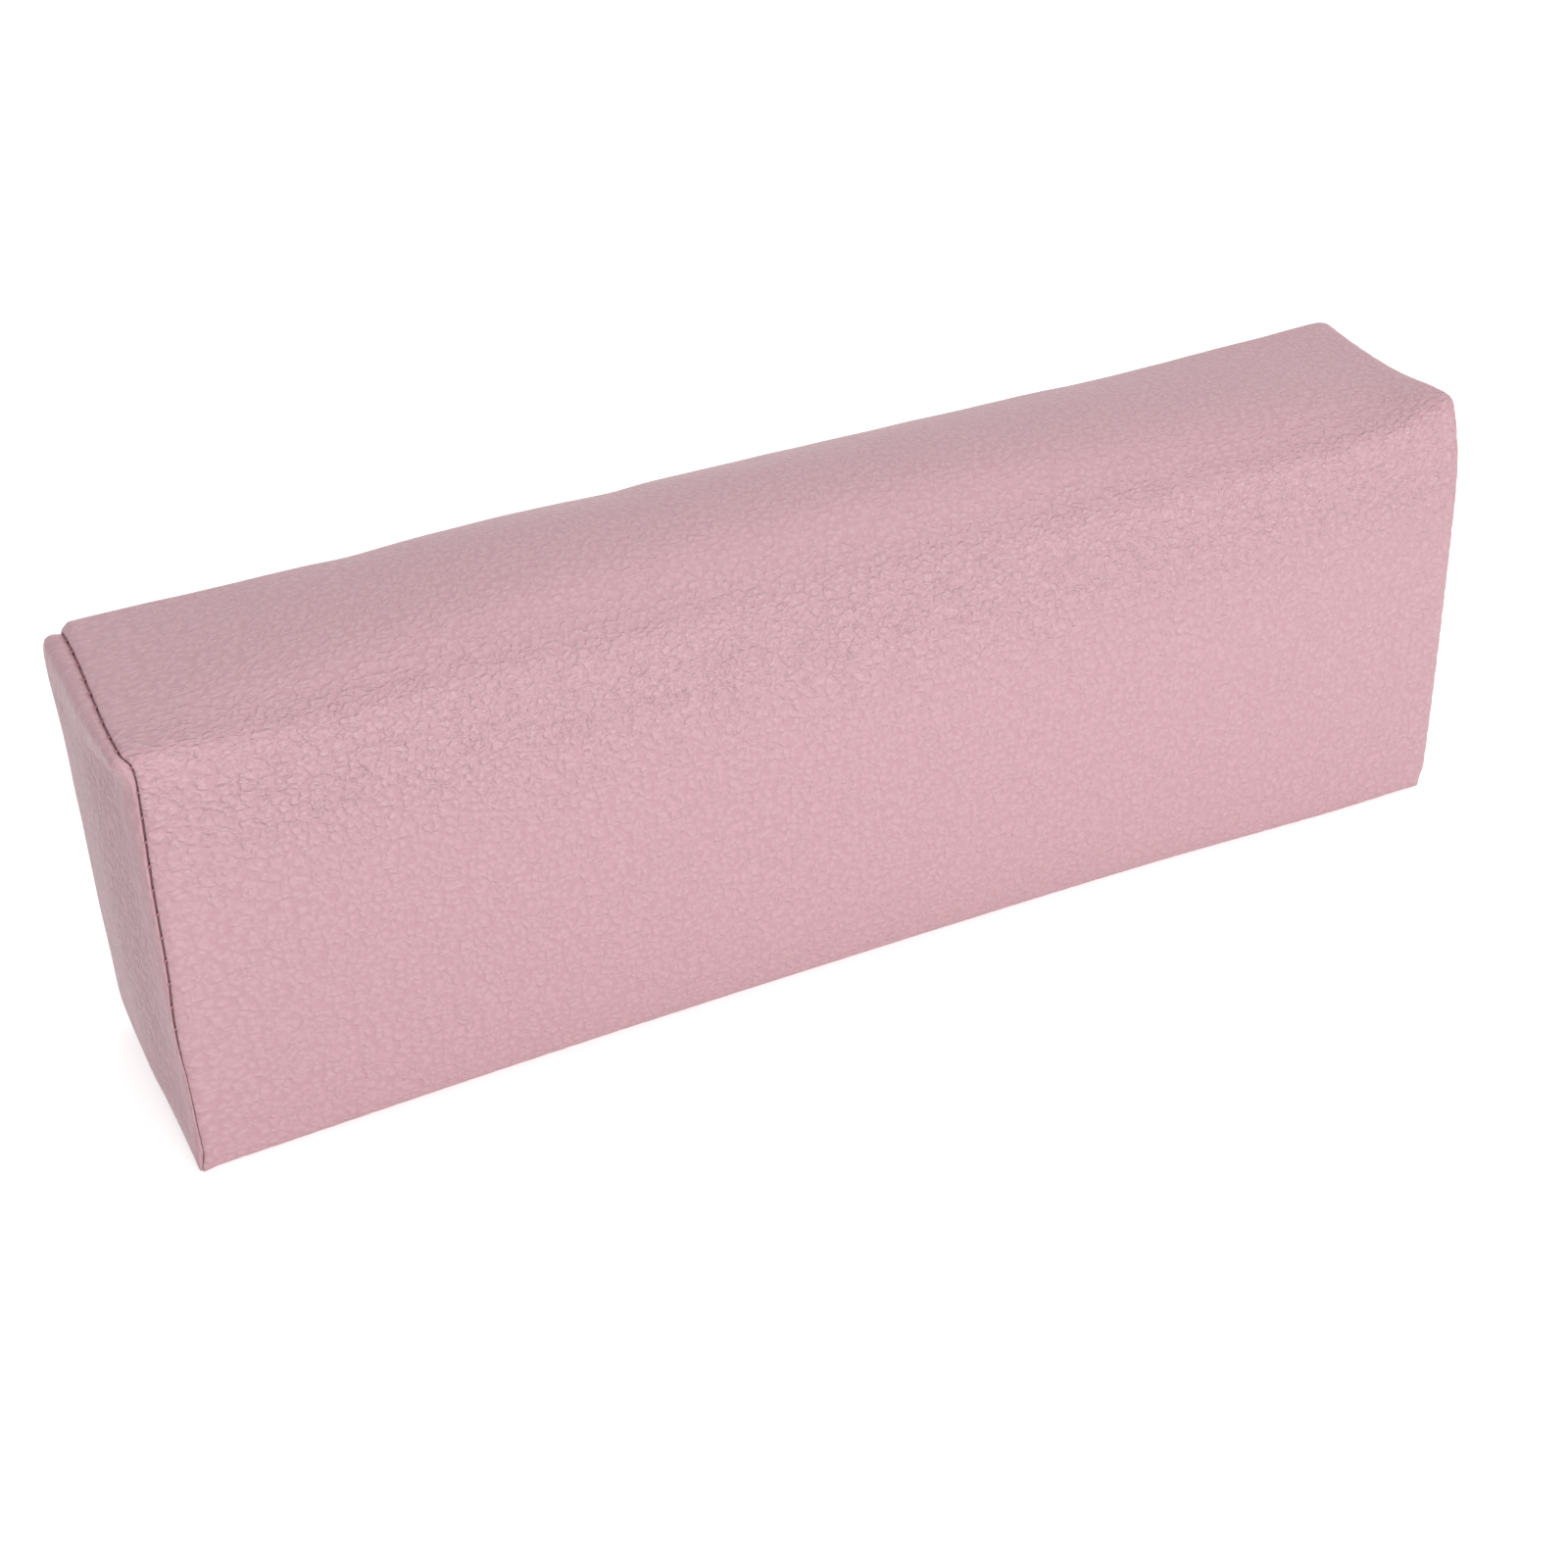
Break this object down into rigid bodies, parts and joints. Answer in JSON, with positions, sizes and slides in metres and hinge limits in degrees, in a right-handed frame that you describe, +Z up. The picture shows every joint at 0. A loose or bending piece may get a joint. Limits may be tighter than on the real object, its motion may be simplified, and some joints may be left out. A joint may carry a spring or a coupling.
{
  "type": "manicure hand rest",
  "caption": "Upright rectangular cushion that holds a hand during a manicure: a foam block in a sewn cover of pebbled pink faux leather.",
  "frame": {"origin": "the middle of the footprint, on the surface that the rest stands on", "axes": "+X along the length, towards the right end; +Y from the front to the back; +Z up"},
  "size_m": [0.301, 0.0606, 0.102],
  "materials": {
    "pink_faux_leather": "soft pebbled grain, satin",
    "white_foam": "open-cell foam",
    "sewing_thread": "matte twisted thread"
  },
  "bodies": {
    "root": {"foam_core": "white_foam", "cover_wrap": "pink_faux_leather", "bottom_panel": "pink_faux_leather", "end_panel_left": "pink_faux_leather", "end_panel_right": "pink_faux_leather", "thread_left_end": "sewing_thread", "thread_right_end": "sewing_thread", "thread_bottom_front": "sewing_thread", "thread_bottom_back": "sewing_thread"}
  },
  "joints": []
}
